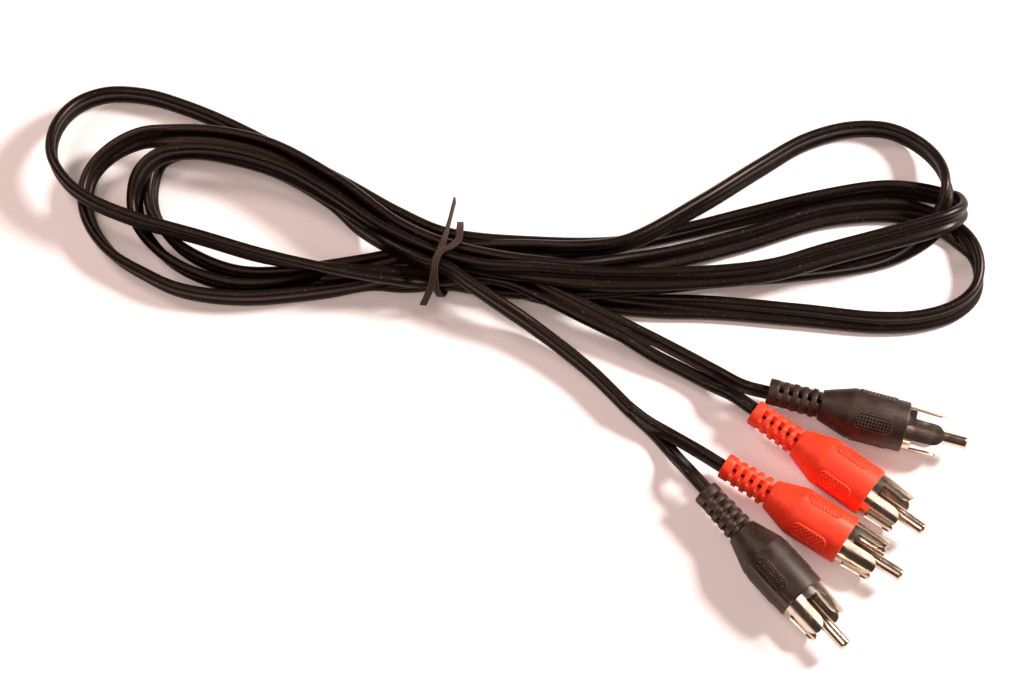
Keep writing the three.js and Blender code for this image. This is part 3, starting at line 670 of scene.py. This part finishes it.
# Contact shells: nickel-plated sheet brass, rolled into a ring that is pressed into the hood, with four
# spring petals that close in a little towards their round tips.
SHELL_RADIUS = 5.15
SHELL_TIP_RADIUS = 4.85
SHELL_WALL = 0.4
SHELL_REACH = 9.0
RING_REACH = 1.7
PETAL_HALF = 2.6
PETAL_CORNER = 2.5
PETAL_COLUMNS = 24
SLOT_COLUMNS = 8
RING_ROWS = 8
PETAL_ROWS = 30
SLOT_TO_PETAL = 45


def contact_shell():
    """The sheet unrolled as a grid, its slots cut out and its tips rounded, then rolled and thickened."""
    solid = bmesh.new()
    columns, rows = 4 * (PETAL_COLUMNS + SLOT_COLUMNS), RING_ROWS + PETAL_ROWS
    bmesh.ops.create_grid(solid, x_segments=rows, y_segments=columns, size=1)
    rear, front = POCKET_FLOOR + POCKET_GAP, HOOD_LENGTH + RING_REACH
    tip = HOOD_LENGTH + SHELL_REACH
    quarter = math.pi * SHELL_RADIUS / 2
    cut = []
    for vert in solid.verts:
        row = round((vert.co.x + 1) / 2 * rows)
        column = round((vert.co.y + 1) / 2 * columns)
        which, step = divmod(column, PETAL_COLUMNS + SLOT_COLUMNS)
        half = PETAL_HALF
        if row <= RING_ROWS:
            x = rear + (front - rear) * row / RING_ROWS
        else:
            x = front + (tip - front) * math.sin(math.pi / 2 * (row - RING_ROWS) / PETAL_ROWS)
            into_corner = max(x - tip + PETAL_CORNER, 0)
            half += math.sqrt(max(PETAL_CORNER ** 2 - into_corner ** 2, 0)) - PETAL_CORNER
        if step <= PETAL_COLUMNS:
            s = half * (2 * step / PETAL_COLUMNS - 1)
        else:
            s = PETAL_HALF + (quarter - 2 * PETAL_HALF) * (step - PETAL_COLUMNS) / SLOT_COLUMNS
            if row > RING_ROWS:
                cut.append(vert)
        angle = (s + which * quarter) / SHELL_RADIUS
        radius = SHELL_RADIUS - (SHELL_RADIUS - SHELL_TIP_RADIUS) * max(x - front, 0) / (tip - front)
        vert.co = (x, radius * math.sin(angle), radius * math.cos(angle))
    bmesh.ops.delete(solid, geom=cut, context="VERTS")
    bmesh.ops.remove_doubles(solid, verts=solid.verts, dist=MERGE_WITHIN)
    bmesh.ops.recalc_face_normals(solid, faces=solid.faces)
    bmesh.ops.solidify(solid, geom=solid.faces, thickness=-SHELL_WALL)
    bmesh.ops.recalc_face_normals(solid, faces=solid.faces)
    return solid


# Bright nickel plate on brass: warm silver, polished before plating, with very fine scratches and a
# thin haze of handling that softens the reflections in patches.
SCRATCH = 0.14
HAZE = 2.5
nickel = bpy.data.materials.new("bright_nickel_plate")
nickel.use_nodes = True
tree = nickel.node_tree
bare = tree.nodes["Principled BSDF"]
place = add_node(tree, "TexCoord").outputs["Object"]
stretched = add_node(tree, "VectorMath", [(0, place), (1, (1, 0.35, 0.6))], operation="MULTIPLY").outputs[0]
scratches = add_node(tree, "TexNoise", [("Vector", stretched), ("Scale", 1 / (SCRATCH * MM)),
                                        ("Detail", 2.0)])
haze = add_node(tree, "TexNoise", [("Vector", place), ("Scale", 1 / (HAZE * MM)), ("Detail", 3.0)])
rough = add_node(tree, "MapRange", [("Value", haze.outputs["Fac"]), ("From Min", 0.35), ("From Max", 0.7),
                                    ("To Min", 0.15), ("To Max", 0.27)])
relief = add_node(tree, "Bump", [("Strength", 0.07), ("Distance", 0.004 * MM),
                                 ("Height", scratches.outputs["Fac"])])
tone = add_node(tree, "Mix", [(0, haze.outputs["Fac"]), (MIX_A, colour("e2d3c3")),
                              (MIX_B, colour("bba692"))], data_type="RGBA")
bare.inputs["Metallic"].default_value = 1
for socket, source in (("Base Color", tone.outputs[MIX_RESULT]), ("Roughness", rough.outputs[0]),
                       ("Normal", relief.outputs[0])):
    tree.links.new(source, bare.inputs[socket])

for name, plug in PLUGS.items():
    plug["shell"] = seated(f"{name}_sprung_shell", contact_shell(), plug, nickel,
                           plug["slots"] + SLOT_TO_PETAL)
    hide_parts(f"{name}_contact_shell")

# Centre pins: turned brass, nickel-plated with the shells, with the end faced flat and chamfered. They
# are held at the rear in the insulator and are soldered to the strand's core inside the hood.
PIN_RADIUS = 1.59
PIN_REACH = 15.2
PIN_CHAMFER = 0.5
CHAMFER_ROUND = 0.15
FACE_ROUND = 0.1
for name, plug in PLUGS.items():
    rear, tip = POCKET_FLOOR + POCKET_GAP, HOOD_LENGTH + PIN_REACH
    pin = turned([
        (rear, 0, 0), (rear, PIN_RADIUS, 0), (tip - PIN_CHAMFER, PIN_RADIUS, CHAMFER_ROUND),
        (tip, PIN_RADIUS - PIN_CHAMFER, FACE_ROUND), (tip, 0, 0),
    ], steps=64)
    plug["pin"] = seated(f"{name}_turned_pin", pin, plug, nickel)
    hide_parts(f"{name}_centre_pin")

# Insulators: a moulded disc that fills the shell's ring and holds the pin in its middle. It is dark
# polypropylene, waxy and half matt, set a little behind the ring's front edge.
INSULATOR_REACH = 1.2
INSULATOR_OUTER = 4.4
INSULATOR_INNER = 1.62
INSULATOR_ROUND = 0.15
HOLE_ROUND = 0.1
CLOUD = 1.2
polymer = bpy.data.materials.new("moulded_polypropylene")
polymer.use_nodes = True
tree = polymer.node_tree
bare = tree.nodes["Principled BSDF"]
place = add_node(tree, "TexCoord").outputs["Object"]
cloud = add_node(tree, "TexNoise", [("Vector", place), ("Scale", 1 / (CLOUD * MM)), ("Detail", 3.0)])
body = add_node(tree, "Mix", [(0, cloud.outputs["Fac"]), (MIX_A, colour("1f1b19")),
                              (MIX_B, colour("342e2b"))], data_type="RGBA")
tree.links.new(body.outputs[MIX_RESULT], bare.inputs["Base Color"])
bare.inputs["Roughness"].default_value = 0.5
for name, plug in PLUGS.items():
    rear, front = POCKET_FLOOR + POCKET_GAP, HOOD_LENGTH + INSULATOR_REACH
    disc = turned([
        (rear, INSULATOR_INNER, 0), (rear, INSULATOR_OUTER, 0),
        (front, INSULATOR_OUTER, INSULATOR_ROUND), (front, INSULATOR_INNER, HOLE_ROUND),
    ], steps=64, closed=True)
    plug["insulator"] = seated(f"{name}_insulating_disc", disc, plug, polymer)
    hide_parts(f"{name}_insulator")
